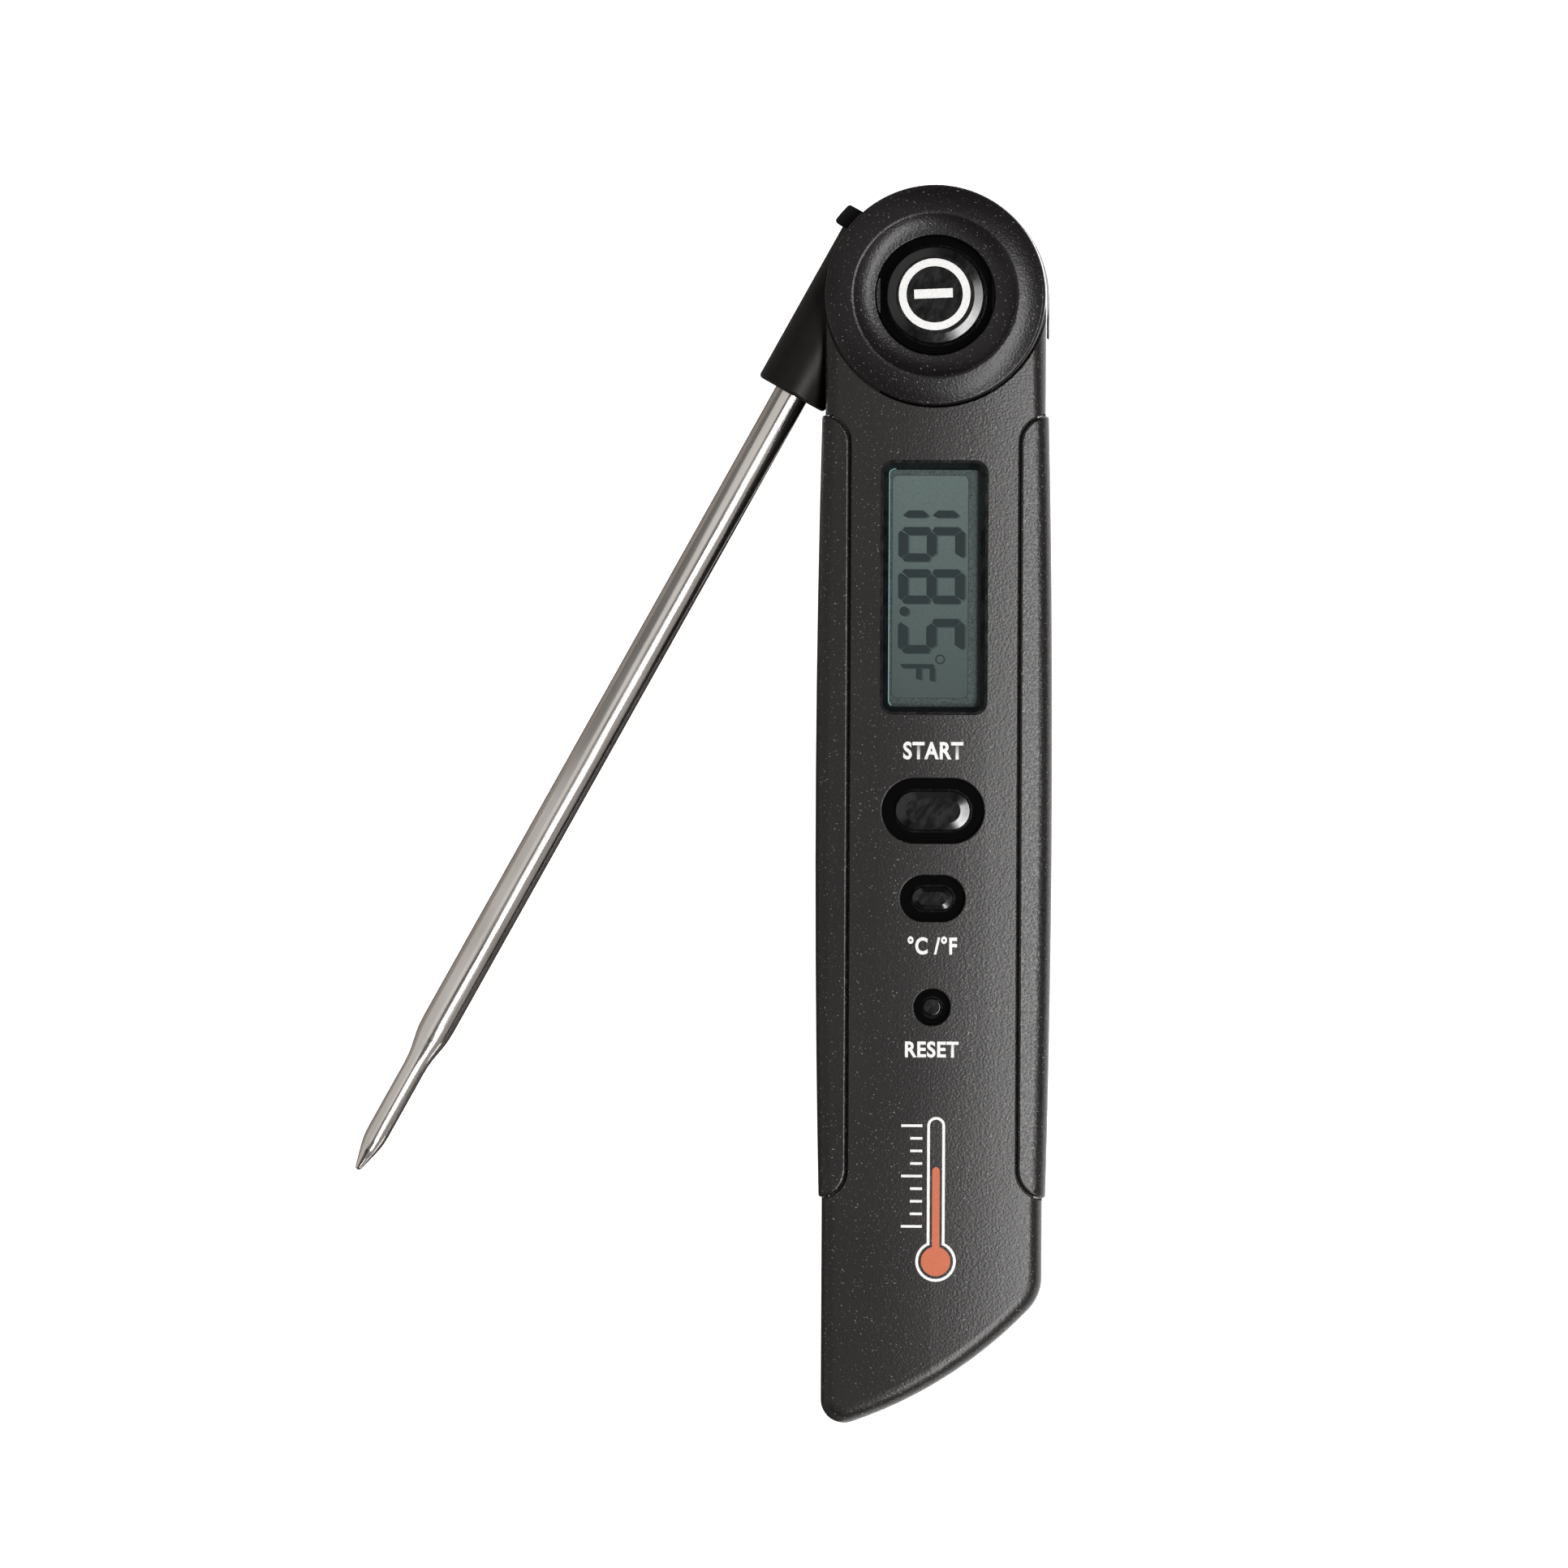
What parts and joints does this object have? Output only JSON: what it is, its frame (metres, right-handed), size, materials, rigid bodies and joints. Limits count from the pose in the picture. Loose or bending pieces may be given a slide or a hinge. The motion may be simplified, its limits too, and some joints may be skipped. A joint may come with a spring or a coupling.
{
  "type": "folding probe meat thermometer",
  "caption": "Folding-probe digital meat thermometer: slim handle with display and keys, round pivot head with power button, steel probe that folds into the side.",
  "frame": {"origin": "on the probe's pivot axis, at the flat rear face that the thermometer lies on", "axes": "+Z out of the display face along the pivot axis, -Y from the pivot along the handle to its toe, +X to the right when reading the face; the probe opens towards -X"},
  "size_m": [0.0862, 0.1527, 0.019],
  "materials": {
    "shell_plastic": "fine spark texture, warm black",
    "grip_plastic": "fine spark texture, warm black",
    "gloss_black": "gloss",
    "clear_window": "clear, polished",
    "lcd_glass": "green-grey display",
    "foil": "satin",
    "inner_plastic": "matte",
    "black_rubber": "matte",
    "circuit_board": "solder mask",
    "screw_steel": "zinc plated",
    "ceramic": "matte",
    "nylon": "satin",
    "cell_case": "plain metal sleeve",
    "plated_steel": "nickel plated",
    "hub_plastic": "satin black",
    "stainless": "polished stainless",
    "copper": "enamelled copper",
    "filler": "matte"
  },
  "bodies": {
    "handle": {"front_shell": "shell_plastic", "rear_shell": "shell_plastic", "head_cap": "shell_plastic", "left_front_grip": "grip_plastic", "left_rear_grip": "grip_plastic", "right_grip": "grip_plastic", "window_bezel": "gloss_black", "display_window": "clear_window", "lcd_panel": "lcd_glass", "lcd_reflector": "foil", "lcd_frame": "inner_plastic", "zebra_strip": "black_rubber", "main_board": "circuit_board", "board_screws": "screw_steel", "processor_chip": "inner_plastic", "crystal": "screw_steel", "board_capacitors": "ceramic", "keypad_membrane": "black_rubber", "switch_board": "circuit_board", "power_switch": "inner_plastic", "pivot_washer_rear": "nylon", "pivot_washer_front": "nylon", "friction_rings": "black_rubber", "pivot_screws": "screw_steel", "housing_screws": "screw_steel", "battery_cell": "cell_case", "battery_contact_plus": "plated_steel", "battery_spring": "plated_steel", "battery_contact_minus": "plated_steel"},
    "probe": {"hub_front": "hub_plastic", "hub_rear": "hub_plastic", "probe_tube": "stainless", "thermistor_bead": "ceramic", "probe_leads": "copper", "tip_potting": "filler"},
    "door": {"battery_door": "shell_plastic"},
    "power_key": {"power_button": "gloss_black"},
    "start_key": {"start_button": "gloss_black"},
    "unit_key": {"unit_button": "gloss_black"},
    "reset_key": {"reset_button": "gloss_black"}
  },
  "joints": [
    {"name": "probe_fold", "type": "hinge", "parent": "handle", "child": "probe", "pos_m": [0, 0, 0.0087], "axis": [0, 0, -1], "range_deg": [-29, 151]},
    {"name": "power_press", "type": "slide", "parent": "handle", "child": "power_key", "axis": [0, 0, -1], "range_m": [0, 0.0005], "stiffness_N_per_m": 1600, "springref_m": -0.00063},
    {"name": "start_press", "type": "slide", "parent": "handle", "child": "start_key", "axis": [0, 0, -1], "range_m": [0, 0.0005], "stiffness_N_per_m": 1600, "springref_m": -0.00063},
    {"name": "unit_press", "type": "slide", "parent": "handle", "child": "unit_key", "axis": [0, 0, -1], "range_m": [0, 0.0005], "stiffness_N_per_m": 1600, "springref_m": -0.00063},
    {"name": "reset_press", "type": "slide", "parent": "handle", "child": "reset_key", "axis": [0, 0, -1], "range_m": [0, 0.0005], "stiffness_N_per_m": 1600, "springref_m": -0.00063},
    {"name": "door_slide", "type": "slide", "parent": "handle", "child": "door", "axis": [0, -1, 0], "range_m": [0, 0.048]}
  ]
}
